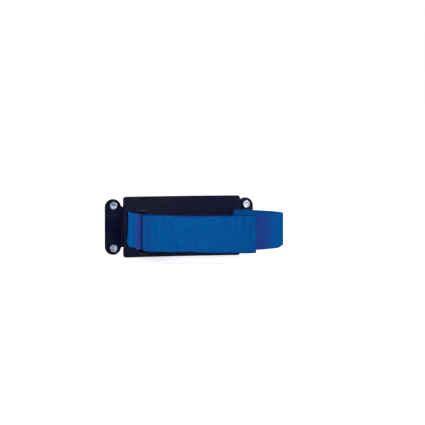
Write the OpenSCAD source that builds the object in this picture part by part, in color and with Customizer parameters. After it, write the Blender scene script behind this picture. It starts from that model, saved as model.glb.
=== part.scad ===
// Wall bracket for one gas cylinder.
// A folded steel plate is bolted to the wall through two ears. Its shallow dished saddle
// stands clear of the wall, and a strap runs behind it, out through a slot at each side and
// round the cylinder. The strap's sewn end holds an oval ring, and its tongue passes through
// the ring and doubles back.
// The wall is the plane y = 0, the cylinder stands on the -Y side, +Z is up, and the origin
// is the middle of the four bolts on the wall. Angles round the cylinder are counted from its
// front (-Y) towards -X.

/* [Cylinder] */
// Radius of the cylinder that the saddle and strap hold
cylinder_r = 103; // [100:0.5:106]

/* [Plate] */
// Thickness of the steel plate
plate_t = 3; // [2.5:0.1:3.5]
// Height of the saddle
saddle_h = 86; // [80:1:110]
// How far the saddle's free edges stand forward of its middle
saddle_dish = 6; // [4:0.5:8]
// Clear space between the wall and the back of the saddle's middle
saddle_gap = 5; // [4:0.5:8]
// Radius of the saddle's four corners
saddle_corner_r = 4; // [2:0.5:8]
// Inside radius of the folds between saddle, leg and ear
fold_r = 1; // [0.5:0.1:1.5]

/* [Ears] */
// Width of each ear
ear_w = 23.5; // [20:0.5:26]
// Height of each ear
ear_h = 79; // [74:1:90]
// Height of the neck that joins an ear to the saddle
neck_h = 56; // [50:1:64]
// Width of the relief cut between an ear and the saddle's free edge
relief_w = 1.25; // [0.8:0.05:2]
// Distance between the bolts across the bracket
bolt_span_x = 200; // [190:1:220]
// Distance between the bolts up the bracket
bolt_span_z = 60; // [50:1:64]

/* [Bolts] */
// Thread diameter of the bolts
bolt_d = 6; // [5:0.5:8]
// Length of a bolt under its head
bolt_len = 25; // [20:1:50]
// Size of the hexagon across its flats
head_af = 10; // [9:0.5:13]
// Height of the hexagon head
head_h = 4; // [3:0.1:6]
// Clearance of the bolt in its hole, on the diameter
bolt_play = 0.6; // [0.4:0.1:1]

/* [Strap] */
// Width of the strap
strap_w = 47; // [40:0.5:50]
// Thickness of the strap
strap_t = 2.6; // [2:0.1:3]
// Width of the strap where it is squeezed through the slots
strap_slot_w = 43; // [36:0.5:46]
// Angle at which the strap's sewn end is cut
strap_end_angle = 82.8; // [82.5:0.1:85]

/* [Tongue] */
// Width of the hook tongue, which shares its top edge with the strap
tongue_w = 49.5; // [47:0.5:52]
// Thickness of the hook tongue
tongue_t = 3; // [2.4:0.1:3.4]
// Angle past the front at which the tongue is cut
tongue_end_angle = 19; // [5:1:40]
// Angle at which the tongue is sewn to the strap, under its own outer layer
seam_angle = 60; // [50:1:62]

/* [Ring] */
// Height of the ring
ring_h = 60; // [58:0.5:66]
// Thickness of the ring's wire
wire_d = 4.2; // [3.6:0.1:4.8]
// Radius of the ring's corners at the middle of the wire
ring_corner_r = 8; // [6:0.5:9]
// Angle of the ring's bar that the tongue turns round
tongue_bar_angle = 66; // [65:0.1:67]
// Angle of the ring's bar in the sewn end
tab_bar_angle = 77.8; // [77:0.1:78.2]
// Width of the tab that loops round the ring
tab_w = 45; // [36:0.5:46]
// Thickness of the tab
tab_t = 1.3; // [1:0.1:1.5]

/* [Hidden] */
arc_fn = 360;
small_fn = 48;
sector_steps = 5;           // sides of the sector that cuts an arc out of its circle
reach = 20;                 // how far cutting tools run past what they cut
join = 0.2;                 // how far stretches of one band run into each other
step = 0.02;                // how far a linking stretch lies inside its neighbours' faces

// Clearances
lie_gap = 0.3;              // between layers that lie on each other
wire_gap = 0.5;             // between the ring's wire and the layer that turns round it
slot_play_w = 1;            // spare width of a slot beyond the strap and its bend
slot_play_h = 0.5;          // spare height above and below the squeezed strap

// Saddle and folds
saddle_half = bolt_span_x/2 - ear_w/2 - relief_w;
edge_overhang = 0.5;        // free edges of the saddle past the leg's outer face
leg_x = saddle_half - edge_overhang;
dish_r = (saddle_half*saddle_half + saddle_dish*saddle_dish)/(2*saddle_dish);
saddle_y = -(saddle_gap + plate_t);
dish_centre = [0, saddle_y - dish_r];
fold_out = fold_r + plate_t;
fold_front = [leg_x - fold_out, height_on(dish_centre, dish_r + fold_out, leg_x - fold_out)];
fold_back = [leg_x + fold_r, -fold_out];
fold_front_angle = bearing(dish_centre, fold_front);
neck_fillet = 1.2;          // fillet at the foot of each relief cut
kerf = 0.6;                 // height of the saw cut between a neck's folds and the saddle's free ends

// Slots
slot_edge = 0.7;            // flat metal between a fold and the slot
strap_bend_r = 2.7;         // inside radius where the strap turns behind the saddle
slot_w = strap_bend_r + strap_t + slot_play_w;
slot_out = leg_x - fold_out - slot_edge;
slot_in = slot_out - slot_w;
slot_h = strap_slot_w + 2*slot_play_h;
slot_corner_r = 0.8;

// Cylinder and the strap's route, with every radius at the middle of the strap
axis_y = saddle_y - cylinder_r;
axis = [0, axis_y];
wrap_r = cylinder_r + strap_t/2;
bend_r = strap_bend_r + strap_t/2;
back_r = dish_r + plate_t + lie_gap + strap_t/2;
bend = [slot_in, height_on(dish_centre, back_r - bend_r, slot_in)];
bend_angle = bearing(dish_centre, bend);
leave_angle = bearing(axis, bend) - acos((wrap_r - bend_r)/norm(bend - axis));
squeeze_from = 50;          // distance from the wall at which the strap starts to narrow
squeeze_to = 15;            // distance from the wall at which it has its width in the slot

// Sewn end: the strap climbs in a straight line over the tab's two tails
raise_r = cylinder_r + 2*tab_t + 2*lie_gap + strap_t/2;
hump_r = 25;                // radius where the strap levels out on the tails
hump_run = sqrt(pow(raise_r - hump_r, 2) - pow(wrap_r - hump_r, 2));
hump_turn = atan2(hump_run, wrap_r - hump_r);
left_angle = 180 - leave_angle;
hump = axis + (wrap_r - hump_r)*unit(left_angle) + hump_run*unit(left_angle + 90);

// Ring and the two layers that turn round its bars
wire_r = wire_d/2;
wire_clear = wire_r + wire_gap;
tab_bar = axis + (cylinder_r + tab_t + wire_clear)*unit(270 - tab_bar_angle);
tongue_bar = axis + (cylinder_r + tongue_t + wire_clear)*unit(270 - tongue_bar_angle);
ring_w = norm(tongue_bar - tab_bar);
ring_mid = (tab_bar + tongue_bar)/2;
ring_z = (strap_w - tongue_w)/4;
tab_slack = 0.9;            // play of the bar in the tab
tongue_slack = 2;           // play of the bar in the tongue's fold

// Tab
tail_end_angle = 89;        // where both tails end under the strap
tail_meet_angle = 82.2;     // where the outer tail comes down on the inner one
tail_lap = 0.2;             // angle by which the outer tail runs into the stretch that comes down
tail_r = cylinder_r + tab_t + lie_gap + tab_t/2;
tab_turn = tab_bar - tab_slack*unit(180 - tab_bar_angle);
tab_turn_r = wire_clear + tab_t/2;
tail_meet = axis + tail_r*unit(270 - tail_meet_angle);
tail_lift = bearing(tab_bar, tail_meet) + acos(tab_turn_r/norm(tail_meet - tab_bar));

// Tongue
tongue_top_r = cylinder_r + strap_t + lie_gap + tongue_t/2;
tongue_turn_r = wire_clear + tongue_t/2;
tongue_turn = tongue_bar + tongue_slack*unit(180 - tongue_bar_angle);
tongue_land = 270 - tongue_bar_angle
    + acos((tongue_top_r - tongue_turn_r)/norm(tongue_bar - axis));
seam_gap = 0.2;             // angle between the strap's front end and the tongue's hidden end
fold_lift = 3.4;            // how far the tongue's lower edge rises where it turns in the ring
fold_lift_run = 10;         // length over which it rises

// Bolts
hole_d = bolt_d + bolt_play;
head_chamfer = 0.7;
head_dish_d = 0.6*head_af;
head_dish_h = 0.5;
neck_d = bolt_d - 0.65;     // plain neck in the plate's hole, as thin as a rolled thread's blank
shank_chamfer = 0.8;
head_turns = [8, 25, -12, 38];  // how far each hexagon was turned when it was tightened

function unit(a) = [cos(a), sin(a)];
function bearing(from, to) = let(d = atan2(to[1] - from[1], to[0] - from[0])) d < 0 ? d + 360 : d;
// y of the circle round c, on its wall side, at a given x
function height_on(c, r, x) = c[1] + sqrt(r*r - x*x);

// Flat outline of a band along an arc round c, from angle a0 to a1, with its middle at radius r
module arc(c, r, t, a0, a1) {
    fn = r > reach ? arc_fn : small_fn;
    translate(c)
        intersection() {
            difference() {
                circle(r + t/2, $fn = fn);
                circle(r - t/2, $fn = fn);
            }
            polygon(concat([[0, 0]], [for (i = [0:sector_steps]) 2*(r + t)*unit(a0 + (a1 - a0)*i/sector_steps)]));
        }
}

// Outline of a straight stretch from p to q, which links the arcs at its two ends
module link(p, q, t) {
    along = (q - p)/norm(q - p);
    side = (t/2 - step)*[-along[1], along[0]];
    end = join*along;
    polygon([p - end + side, q + end + side, q + end - side, p - end - side]);
}

// Outline of an arc that runs into the stretches at its two ends
module link_arc(c, r, t, a0, a1) {
    over = join/r*180/PI;
    arc(c, r, t - 2*step, a0 - over, a1 + over);
}

// Upright band of width w from the outlines of its stretches
module band(w) {
    for (i = [0:$children - 1])
        linear_extrude(w, center = true) children(i);
}

module mirrored() {
    children();
    mirror([1, 0, 0]) children();
}

// Prism along Y from y0 to y1 with a rounded outline of w by h round x
module slab(x, w, h, r, y0, y1) {
    translate([x, y1, 0])
        rotate([90, 0, 0])
            linear_extrude(y1 - y0)
                union() {
                    square([w, h - 2*r], center = true);
                    if (w > 2*r) square([w - 2*r, h], center = true);
                    for (sx = w > 2*r ? [-1, 1] : [0], sz = [-1, 1])
                        translate([sx*(w/2 - r), sz*(h/2 - r)]) circle(r, $fn = small_fn);
                }
}

module saddle() {
    edge_angle = asin(saddle_half/dish_r) + 1;
    fold_line = unit(fold_front_angle);
    difference() {
        intersection() {
            band(saddle_h) arc(dish_centre, dish_r + plate_t/2, plate_t, 90 - edge_angle, 90 + edge_angle);
            slab(0, 2*saddle_half, saddle_h, saddle_corner_r, -saddle_gap - 4*plate_t, 0);
        }
        // past each front fold only the free ends above and below the neck stay
        mirrored()
            band(neck_h + 2*kerf)
                polygon([
                    dish_centre + (dish_r - plate_t)*fold_line, dish_centre + (dish_r + 2*plate_t)*fold_line,
                    [bolt_span_x/2, 0], [bolt_span_x/2, dish_centre[1] + dish_r - 2*saddle_dish]
                ]);
    }
}

module neck() {
    band(neck_h) {
        link_arc(fold_front, fold_r + plate_t/2, plate_t, fold_front_angle - 180, 0);
        translate([leg_x - plate_t, fold_front[1]]) square([plate_t, fold_back[1] - fold_front[1]]);
        link_arc(fold_back, fold_r + plate_t/2, plate_t, 90, 180);
    }
}

module ear() {
    slab(bolt_span_x/2, ear_w, ear_h, ear_w/2, -plate_t, 0);
    translate([fold_back[0], -plate_t, -neck_h/2])
        cube([bolt_span_x/2 - fold_back[0], plate_t, neck_h]);
    // fillets where the ear's straight side runs into the neck
    for (s = [-1, 1])
        difference() {
            translate([fold_back[0], -plate_t, s > 0 ? neck_h/2 : -neck_h/2 - neck_fillet])
                cube([bolt_span_x/2 - ear_w/2 - fold_back[0], plate_t, neck_fillet]);
            translate([fold_back[0] - neck_fillet/2, reach, s*(neck_h/2 + neck_fillet)])
                rotate([90, 0, 0]) cylinder(h = 2*reach, r = neck_fillet, $fn = small_fn);
        }
}

module bracket_plate() {
    color("#14152a")
        difference() {
            union() {
                saddle();
                mirrored() {
                    neck();
                    ear();
                }
            }
            mirrored() slab((slot_in + slot_out)/2, slot_w, slot_h, slot_corner_r, -reach, 1);
            for (sx = [-1, 1], sz = [-1, 1])
                translate([sx*bolt_span_x/2, 1, sz*bolt_span_z/2])
                    rotate([90, 0, 0]) cylinder(h = plate_t + 2, d = hole_d, $fn = small_fn);
        }
}

// Hex bolt through the ear at (x, z), its hexagon turned by a
module bolt(x, z, a) {
    color("#c9ccd3")
        translate([x, -plate_t, z])
            rotate([90, 0, 0]) {
                rotate([0, 0, a])
                    difference() {
                        intersection() {
                            rotate([0, 0, 90]) cylinder(h = head_h, d = head_af/cos(30), $fn = 6);
                            union() {
                                cylinder(h = head_h - head_chamfer, d = head_af/cos(30) + 1, $fn = small_fn);
                                translate([0, 0, head_h - head_chamfer])
                                    cylinder(h = head_chamfer, d1 = head_af/cos(30) + 0.2,
                                             d2 = head_af - 0.4, $fn = small_fn);
                            }
                        }
                        translate([0, 0, head_h - head_dish_h])
                            cylinder(h = 2*head_dish_h, d1 = head_dish_d, d2 = head_dish_d + 1, $fn = small_fn);
                    }
                translate([0, 0, -plate_t - join])
                    cylinder(h = plate_t + join, d = neck_d, $fn = small_fn);
                translate([0, 0, shank_chamfer - bolt_len])
                    cylinder(h = bolt_len - shank_chamfer - plate_t, d = bolt_d, $fn = small_fn);
                translate([0, 0, -bolt_len])
                    cylinder(h = shank_chamfer, d1 = bolt_d - 2*shank_chamfer, d2 = bolt_d, $fn = small_fn);
            }
}

module bolt_upper_left() { bolt(-bolt_span_x/2, bolt_span_z/2, head_turns[0]); }
module bolt_lower_left() { bolt(-bolt_span_x/2, -bolt_span_z/2, head_turns[1]); }
module bolt_upper_right() { bolt(bolt_span_x/2, bolt_span_z/2, head_turns[2]); }
module bolt_lower_right() { bolt(bolt_span_x/2, -bolt_span_z/2, head_turns[3]); }

// Takes the strap's edges in where it nears the slots
module squeeze_cut() {
    edge = strap_w/2;
    slim = strap_slot_w/2;
    for (s = [-1, 1])
        rotate([90, 0, 90])
            linear_extrude(2*bolt_span_x, center = true)
                polygon([
                    [-squeeze_from, s*edge], [-squeeze_to, s*slim], [reach, s*slim],
                    [reach, s*(edge + 1)], [-squeeze_from, s*(edge + 1)]
                ]);
}

module strap() {
    color("#0b5a9e")
        difference() {
            band(strap_w) {
                // from under the tongue round the front and the right side
                arc(axis, wrap_r, strap_t, 270 - seam_angle, 360 + leave_angle);
                // each side's run to its slot, and the turn behind the saddle
                link(axis + wrap_r*unit(leave_angle), bend + bend_r*unit(leave_angle), strap_t);
                mirrored() arc(bend, bend_r, strap_t, leave_angle, bend_angle);
                mirror([1, 0, 0])
                    link(bend + bend_r*unit(leave_angle),
                         axis + wrap_r*unit(leave_angle) + hump_run*unit(leave_angle - 90), strap_t);
                // behind the saddle
                link_arc(dish_centre, back_r, strap_t, bend_angle, 180 - bend_angle);
                // sewn end over the tab's tails
                arc(hump, hump_r, strap_t, left_angle, left_angle + hump_turn);
                link_arc(axis, raise_r, strap_t, left_angle + hump_turn, 270 - strap_end_angle);
            }
            squeeze_cut();
        }
}

module hook_tongue() {
    up = 270 - tongue_bar_angle;
    left = 180 - tongue_bar_angle;
    top = tongue_turn_r*unit(up);
    under = -top;
    color("#04529a")
        difference() {
            translate([0, 0, (strap_w - tongue_w)/2])
                band(tongue_w) {
                    // hidden end, under the ring's bar
                    arc(axis, cylinder_r + tongue_t/2, tongue_t, up, 270 - seam_angle - seam_gap);
                    link(tongue_bar + under, tongue_turn + under, tongue_t);
                    // fold round the bar
                    arc(tongue_turn, tongue_turn_r, tongue_t, left - 90, left + 90);
                    link(tongue_turn + top, tongue_bar + top, tongue_t);
                    arc(tongue_bar, tongue_turn_r, tongue_t, up, tongue_land);
                    // outer layer, down on to the strap and round to its cut end
                    link(tongue_bar + tongue_turn_r*unit(tongue_land),
                         axis + tongue_top_r*unit(tongue_land), tongue_t);
                    arc(axis, tongue_top_r, tongue_t, tongue_land, 270 + tongue_end_angle);
                }
            // the lower edge rises where the ring's corner pinches it
            translate([tongue_bar[0], tongue_bar[1], strap_w/2 - tongue_w])
                rotate([90, 0, left])
                    linear_extrude(2*reach, center = true)
                        polygon([
                            [-fold_lift_run, 0], [0, fold_lift], [reach, fold_lift],
                            [reach, -1], [-fold_lift_run, -1]
                        ]);
        }
}

module ring_tab() {
    up = 270 - tab_bar_angle;
    top = tab_turn_r*unit(up);
    under = -top;
    color("#1c3e8b")
        band(tab_w) {
            // inner tail, and the turn round the bar
            arc(axis, cylinder_r + tab_t/2, tab_t, 270 - tail_end_angle, up);
            link(tab_bar + under, tab_turn + under, tab_t);
            arc(tab_turn, tab_turn_r, tab_t, up, up + 180);
            link(tab_turn + top, tab_bar + top, tab_t);
            arc(tab_bar, tab_turn_r, tab_t, tail_lift, up);
            // down to the outer tail
            link(tab_bar + tab_turn_r*unit(tail_lift), tail_meet, tab_t);
            arc(axis, tail_r, tab_t, 270 - tail_end_angle, 270 - tail_meet_angle + tail_lap);
        }
}

// Oval ring of round wire, upright in the plane through both bars
module ring() {
    side = ring_w/2;
    bar = ring_h - wire_d - 2*ring_corner_r;
    color("#08080a")
        translate([ring_mid[0], ring_mid[1], ring_z])
            rotate([90, 0, bearing(tab_bar, tongue_bar)])
                union() {
                    for (s = [-1, 1]) {
                        translate([s*side, 0, 0])
                            rotate([90, 0, 0])
                                cylinder(h = bar + 2*join, r = wire_r - step, center = true, $fn = small_fn);
                        translate([0, s*(bar/2 + ring_corner_r), 0])
                            rotate([0, 90, 0])
                                cylinder(h = ring_w - 2*ring_corner_r + 2*join, r = wire_r - step,
                                         center = true, $fn = small_fn);
                    }
                    for (q = [0:3])
                        translate([(q == 0 || q == 3 ? 1 : -1)*(side - ring_corner_r),
                                   (q < 2 ? 1 : -1)*bar/2, 0])
                            rotate([0, 0, 90*q])
                                rotate_extrude(angle = 90, $fn = small_fn)
                                    translate([ring_corner_r, 0]) circle(wire_r, $fn = small_fn);
                }
}

bracket_plate();
bolt_upper_left();
bolt_lower_left();
bolt_upper_right();
bolt_lower_right();
strap();
hook_tongue();
ring_tab();
ring();
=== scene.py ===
"""Looks of a wall bracket for one gas cylinder: a folded steel plate on four bolts, and a
hook-and-loop strap that runs behind its saddle, round the cylinder and through a wire ring.
"""

import math

import bmesh
import bpy
import numpy as np
from bpy.props import FloatProperty, FloatVectorProperty, PointerProperty, StringProperty
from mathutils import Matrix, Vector, noise


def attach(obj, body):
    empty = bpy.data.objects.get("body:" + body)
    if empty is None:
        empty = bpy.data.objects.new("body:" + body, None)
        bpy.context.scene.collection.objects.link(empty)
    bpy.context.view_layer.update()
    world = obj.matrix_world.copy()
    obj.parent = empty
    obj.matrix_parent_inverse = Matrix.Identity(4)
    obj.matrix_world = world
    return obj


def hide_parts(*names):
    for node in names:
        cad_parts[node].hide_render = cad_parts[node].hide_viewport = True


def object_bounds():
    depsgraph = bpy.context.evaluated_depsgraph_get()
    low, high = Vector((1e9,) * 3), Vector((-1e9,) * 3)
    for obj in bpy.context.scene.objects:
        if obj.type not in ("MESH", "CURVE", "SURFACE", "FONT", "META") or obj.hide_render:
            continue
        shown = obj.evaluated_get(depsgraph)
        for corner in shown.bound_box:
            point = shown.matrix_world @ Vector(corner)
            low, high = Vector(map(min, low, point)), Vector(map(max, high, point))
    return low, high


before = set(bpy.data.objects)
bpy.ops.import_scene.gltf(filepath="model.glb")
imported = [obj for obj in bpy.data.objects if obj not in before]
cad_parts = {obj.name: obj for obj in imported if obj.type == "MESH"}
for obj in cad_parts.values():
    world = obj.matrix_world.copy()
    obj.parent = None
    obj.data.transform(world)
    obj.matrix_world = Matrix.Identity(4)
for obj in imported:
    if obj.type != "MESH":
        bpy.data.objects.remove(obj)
cad_low, cad_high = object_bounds()

bl_info = {
    "name": "Gas cylinder bracket",
    "version": (1, 0, 0),
    "blender": (4, 5, 0),
    "location": "3D View > Sidebar > Bracket",
    "description": "Builds the plate, bolts, strap, tongue, tab and ring of a gas cylinder bracket",
    "category": "Object",
}

MM = 0.001

# ---- sizes in millimetres
# The wall is y = 0, the cylinder stands on the -Y side and the origin is the middle of the
# four bolts. Angles are degrees. SLACK_ANGLE is counted from +X, TONGUE_END_ANGLE from the
# cylinder's front to the right, and the other places round the cylinder from its front to the left.
CYLINDER_R = 103.0

PLATE_T = 3.0
SADDLE_H = 86.0
SADDLE_DISH = 6.0
SADDLE_Y = -8.0  # front face of the saddle at its middle
SADDLE_CORNER_R = 4.0
SADDLE_HALF = 87.0  # from its middle to its free ends
SADDLE_REACH = 0.9  # its free ends reach this far past SADDLE_HALF
FOLD_R = 1.0  # inner radius of the folds beside the leg
EAR_W = 23.5
EAR_REACH = 0.3  # an ear reaches this far past EAR_W, towards the saddle
EAR_H = 79.0
NECK_H = 57.8
NECK_FILLET = 1.2
KERF = 0.04  # saw cut between the neck and the free ends of the saddle
LEG_X = 86.5  # outer face of the leg
BOLT_X = 100.0
BOLT_Z = 30.0
BOLT_HOLE_D = 6.6
SLOT_IN = 75.5  # x of a slot's two sides
SLOT_OUT = 81.8
SLOT_H = 44.0
SLOT_CORNER_R = 0.8

STRAP_W = 47.0
STRAP_T = 2.6
STRAP_SLOT_W = 43.0  # its width in the slots
STRAP_BEND_R = 2.7  # its inner radius where it turns behind a slot
LIE_GAP = 0.3  # between layers that lie on each other
SEAM_ANGLE = 60.0  # seam of strap and tongue
STRAP_END_ANGLE = 82.8
HUMP_R = 25.0  # radius with which its end rises over the tab's tails
STRAP_LAP = 2.2  # angle by which the cloth's sewn end laps past the solid's

# How the strap strays from a plain band. A pair that ends in _Y holds the y at which something
# starts and the y from which it is full, one in _REACH the distances from its middle up to which
# it is full and at which it ends.
SIDE_X = (64.0, 72.0)  # the same for x, with what belongs to the left or right side alone
SQUEEZE_Y = (-50.0, -15.0)  # drawing in to STRAP_SLOT_W
SLOT_SWELL = 0.35  # how far each edge swells out again there
STRAP_WAVE = 0.25  # unevenness of the edges elsewhere
CURL = 2.6  # rise of the lower edge on its way into the left slot
CURL_Y = (-88.0, -44.0)
CURL_END_Y = (-11.0, -16.0)
LEFT_LIFT = 1.1  # rise of the lower edge beside the ring, and half of it that of the upper one
LEFT_LIFT_MIDDLE = -114.0
LEFT_LIFT_REACH = (8.0, 28.0)
BULGE = 1.0  # how far the strap stands off where it turns behind a slot
BULGE_REACH = (1.6, 5.6)
LEAN = 0.9  # how far the upper edge leans inwards in the left slot
LEAN_Y = (-45.0, -20.0)
FLARE = 2.3  # how far the lower edge stands out along the left side
FLARE_Y = (-105.0, -30.0)
FLARE_END_Y = (-14.0, -17.0)
SLACK = 1.5  # how far the right side stands off the cylinder
SLACK_ANGLE = 340.0  # and where
SLACK_REACH = (9.0, 54.0)
RIGHT_RISE = 2.4  # rise of the lower edge on the right side
RIGHT_RISE_FROM = (-40.0, -15.0)  # distances past the slack at which it starts and is full
SHEEN_RAMP = (12.0, 46.0)  # distances past the tongue's end at which the painted grazing sheen of the loops starts and is full

TONGUE_W = 49.5
TONGUE_T = 3.0
TONGUE_END_ANGLE = 19.0
TONGUE_BAR_ANGLE = 66.0
TONGUE_SLACK = 0.9  # play of its fold round the ring's bar
FOLD_LIFT = 3.4  # rise of the lower corner of the fold
FOLD_LIFT_PAST = (-1.0, 5.0)  # distances past the bar at which it starts and is full
FOLD_RISE = 1.2  # rise of the upper edge towards the fold
FOLD_RISE_PAST = (-24.0, 0.0)
DARKER_STRETCH = (7.5, 17.5)  # stretch, counted from the middle of the fold, that is drawn darker
TONGUE_WAVE = 0.2  # unevenness of the edges
SAG_FROM_END = (15.0, 95.0, 120.0)  # the lower edge strays this far from the cut end,
SAG = (-1.4, 1.5, 0.6)  # by this much

TAB_W = 45.0
TAB_T = 1.3
TAB_CLOTH_W = 48.6  # width to which the cloth spreads where it turns round the ring
# Distances from the fold at which each edge starts to spread and from which it is full
TAB_SPREAD_LOW = (11.5, 5.0)
TAB_SPREAD_HIGH = (16.0, 6.0)
TAB_BAR_ANGLE = 77.8
TAB_SLACK = 0.9  # play of the tab round the other bar
TAIL_END_ANGLE = 89.0
TAIL_MEET_ANGLE = 82.2  # where the outer tail comes down from the bar
SEWN_ANGLE = 82.4  # first row of stitches through the strap and both tails
SEW_MARGIN = 2.2  # from the strap's edges to the ends of a row
TAB_SEW_MARGIN = 1.0  # from the tab's edges to them
ROW_GAP = 2.4  # between rows
THREAD_R = 0.28

RING_H = 60.0
WIRE_D = 4.2
WIRE_GAP = 0.5
RING_CORNER_R = 8.0

BOLT_D = 6.0
NECK_D = 5.35  # thinner part of the shank in the plate
BOLT_LEN = 25.0
HEAD_AF = 10.0
HEAD_H = 4.0
# How far each hexagon is turned
HEAD_TURNS = {"upper_left": 8, "lower_left": 25, "upper_right": -12, "lower_right": 38}


def unit(angle):
    """Direction of an angle in degrees."""
    return np.array([math.cos(math.radians(angle)), math.sin(math.radians(angle))])


def bearing(start, end):
    """Angle of the way from start to end, from 0 to 360 degrees."""
    return math.degrees(math.atan2(end[1] - start[1], end[0] - start[0])) % 360


def height_on(centre, radius, x):
    """y of a circle, on its wall side, at a given x."""
    return centre[1] + math.sqrt(radius * radius - x * x)


# Saddle and folds
DISH_R = (SADDLE_HALF**2 + SADDLE_DISH**2) / (2 * SADDLE_DISH)
DISH = np.array([0, SADDLE_Y - DISH_R])
FOLD_OUT = FOLD_R + PLATE_T
FOLD_MID = FOLD_R + PLATE_T / 2
FOLD_FRONT = np.array([LEG_X - FOLD_OUT, height_on(DISH, DISH_R + FOLD_OUT, LEG_X - FOLD_OUT)])
FOLD_BACK = np.array([LEG_X + FOLD_R, -FOLD_OUT])

# Cylinder, and the strap's way round it
AXIS = np.array([0, SADDLE_Y - CYLINDER_R])
WRAP_R = CYLINDER_R + STRAP_T / 2
BEND_R = STRAP_BEND_R + STRAP_T / 2
BACK_R = DISH_R + PLATE_T + LIE_GAP + STRAP_T / 2
BEND = np.array([SLOT_IN, height_on(DISH, BACK_R - BEND_R, SLOT_IN)])
BEND_ANGLE = bearing(DISH, BEND)
LEAVE_ANGLE = bearing(AXIS, BEND) - math.degrees(
    math.acos((WRAP_R - BEND_R) / np.linalg.norm(BEND - AXIS))
)
RAISE_R = CYLINDER_R + 2 * TAB_T + 2 * LIE_GAP + STRAP_T / 2
HUMP_RUN = math.sqrt((RAISE_R - HUMP_R) ** 2 - (WRAP_R - HUMP_R) ** 2)
HUMP_TURN = math.degrees(math.atan2(HUMP_RUN, WRAP_R - HUMP_R))
LEFT_ANGLE = 180 - LEAVE_ANGLE
HUMP = AXIS + (WRAP_R - HUMP_R) * unit(LEFT_ANGLE) + HUMP_RUN * unit(LEFT_ANGLE + 90)

# Ring, and what turns round its two bars
WIRE_CLEAR = WIRE_D / 2 + WIRE_GAP
TAB_BAR = AXIS + (CYLINDER_R + TAB_T + WIRE_CLEAR) * unit(270 - TAB_BAR_ANGLE)
TONGUE_BAR = AXIS + (CYLINDER_R + TONGUE_T + WIRE_CLEAR) * unit(270 - TONGUE_BAR_ANGLE)
RING_Z = (STRAP_W - TONGUE_W) / 4  # halfway between the middles of strap and tongue


# ---- routes and bands
class Route:
    """Middle line of a band seen from above, with its outer side on the right of its run. It
    joins arcs, each (centre, radius, start angle, end angle), by straight runs."""

    def __init__(self, arcs, spacing):
        turn = 7.0  # most degrees between two points
        points, normals = [], []
        for centre, radius, start, end in arcs:
            run = abs(end - start)
            steps = max(2, math.ceil(math.radians(run) * radius / spacing), math.ceil(run / turn))
            side = 1 if end > start else -1
            for angle in np.linspace(start, end, steps + 1):
                self._add(points, normals, centre + radius * unit(angle), side * unit(angle), spacing)
        self.points = np.array(points)
        self.normals = np.array(normals)
        steps = np.linalg.norm(np.diff(self.points, axis=0), axis=1)
        self.along = np.concatenate([[0], np.cumsum(steps)])
        self.length = self.along[-1]

    @staticmethod
    def _add(points, normals, point, normal, spacing):
        """Adds a point, and what lies between it and the last one where that is far."""
        if points:
            gap = np.linalg.norm(point - points[-1])
            if gap < 1e-3:
                return
            if gap > 1.6 * spacing:
                last_point, last_normal = points[-1], normals[-1]
                count = math.ceil(gap / spacing)
                for i in range(1, count):
                    points.append(last_point + (point - last_point) * i / count)
                    mixed = last_normal + (normal - last_normal) * i / count
                    normals.append(mixed / np.linalg.norm(mixed))
        points.append(point)
        normals.append(normal)

    def at(self, distance):
        """(point, outward normal) at a distance from the start."""
        point = [np.interp(distance, self.along, self.points[:, i]) for i in (0, 1)]
        normal = [np.interp(distance, self.along, self.normals[:, i]) for i in (0, 1)]
        return np.array(point), np.array(normal) / np.linalg.norm(normal)

    def distance_to(self, centre, angle, first=True):
        """Distance at which the route passes a bearing from centre, the first or last time."""
        rel = self.points - centre
        gap = (np.degrees(np.arctan2(rel[:, 1], rel[:, 0])) - angle + 180) % 360 - 180
        # the jump of the gap's sign half a turn away is no crossing
        crossings = np.nonzero((gap[:-1] * gap[1:] <= 0) & (abs(gap[:-1]) < 20))[0]
        i = crossings[0] if first else crossings[-1]
        share = gap[i] / (gap[i] - gap[i + 1]) if gap[i] != gap[i + 1] else 0
        return self.along[i] + share * (self.along[i + 1] - self.along[i])


def smooth_step(x):
    """0 up to 0, 1 from 1, and a soft S between."""
    x = np.clip(x, 0, 1)
    return x * x * (3 - 2 * x)


def ramp(x, start, full):
    """0 at start, 1 at full, on whichever side of start that lies, and a soft S between."""
    return smooth_step((x - start) / (full - start))


def bump(x, full, end):
    """1 where x is within full of 0, 0 where it is end or more away, and soft slopes between."""
    return ramp(abs(x), end, full)


def new_object(name, data):
    """Object with the given data, put in the scene."""
    obj = bpy.data.objects.new(name, data)
    bpy.context.scene.collection.objects.link(obj)
    return obj


def tube_faces(rows, sides, base=0, closed=False):
    """Quads of a tube whose rows have sides points each, counted from point number base. The
    last row of a closed one joins its first."""
    faces = []
    for i in range(rows if closed else rows - 1):
        low, high = base + i * sides, base + (i + 1) % rows * sides
        for k in range(sides):
            n = (k + 1) % sides
            faces.append((low + k, high + k, high + n, low + n))
    return faces


def circle(centre, radius, one, other, sides):
    """Points round a centre, in the plane of two unit vectors."""
    turns = [2 * math.pi * k / sides for k in range(sides)]
    return [centre + radius * (math.cos(turn) * one + math.sin(turn) * other) for turn in turns]


def cap(first, sides):
    """Face over a tube's end whose points start with number first."""
    return tuple(range(first, first + sides))


def mesh_object(name, vertices, faces, materials, indices=None, uvs=None):
    """Object from points in millimetres. uvs holds one (u, v) in metres for each corner."""
    mesh = bpy.data.meshes.new(name)
    mesh.from_pydata([tuple(MM * c for c in v) for v in vertices], [], faces)
    for material in materials:
        mesh.materials.append(material)
    if indices is not None:
        mesh.polygons.foreach_set("material_index", indices)
    if uvs is not None:
        layer = mesh.uv_layers.new(name="UVMap")
        layer.data.foreach_set("uv", np.asarray(uvs, np.float32).ravel())
    mesh.polygons.foreach_set("use_smooth", [True] * len(mesh.polygons))
    mesh.update()
    return new_object(name, mesh)


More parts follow.
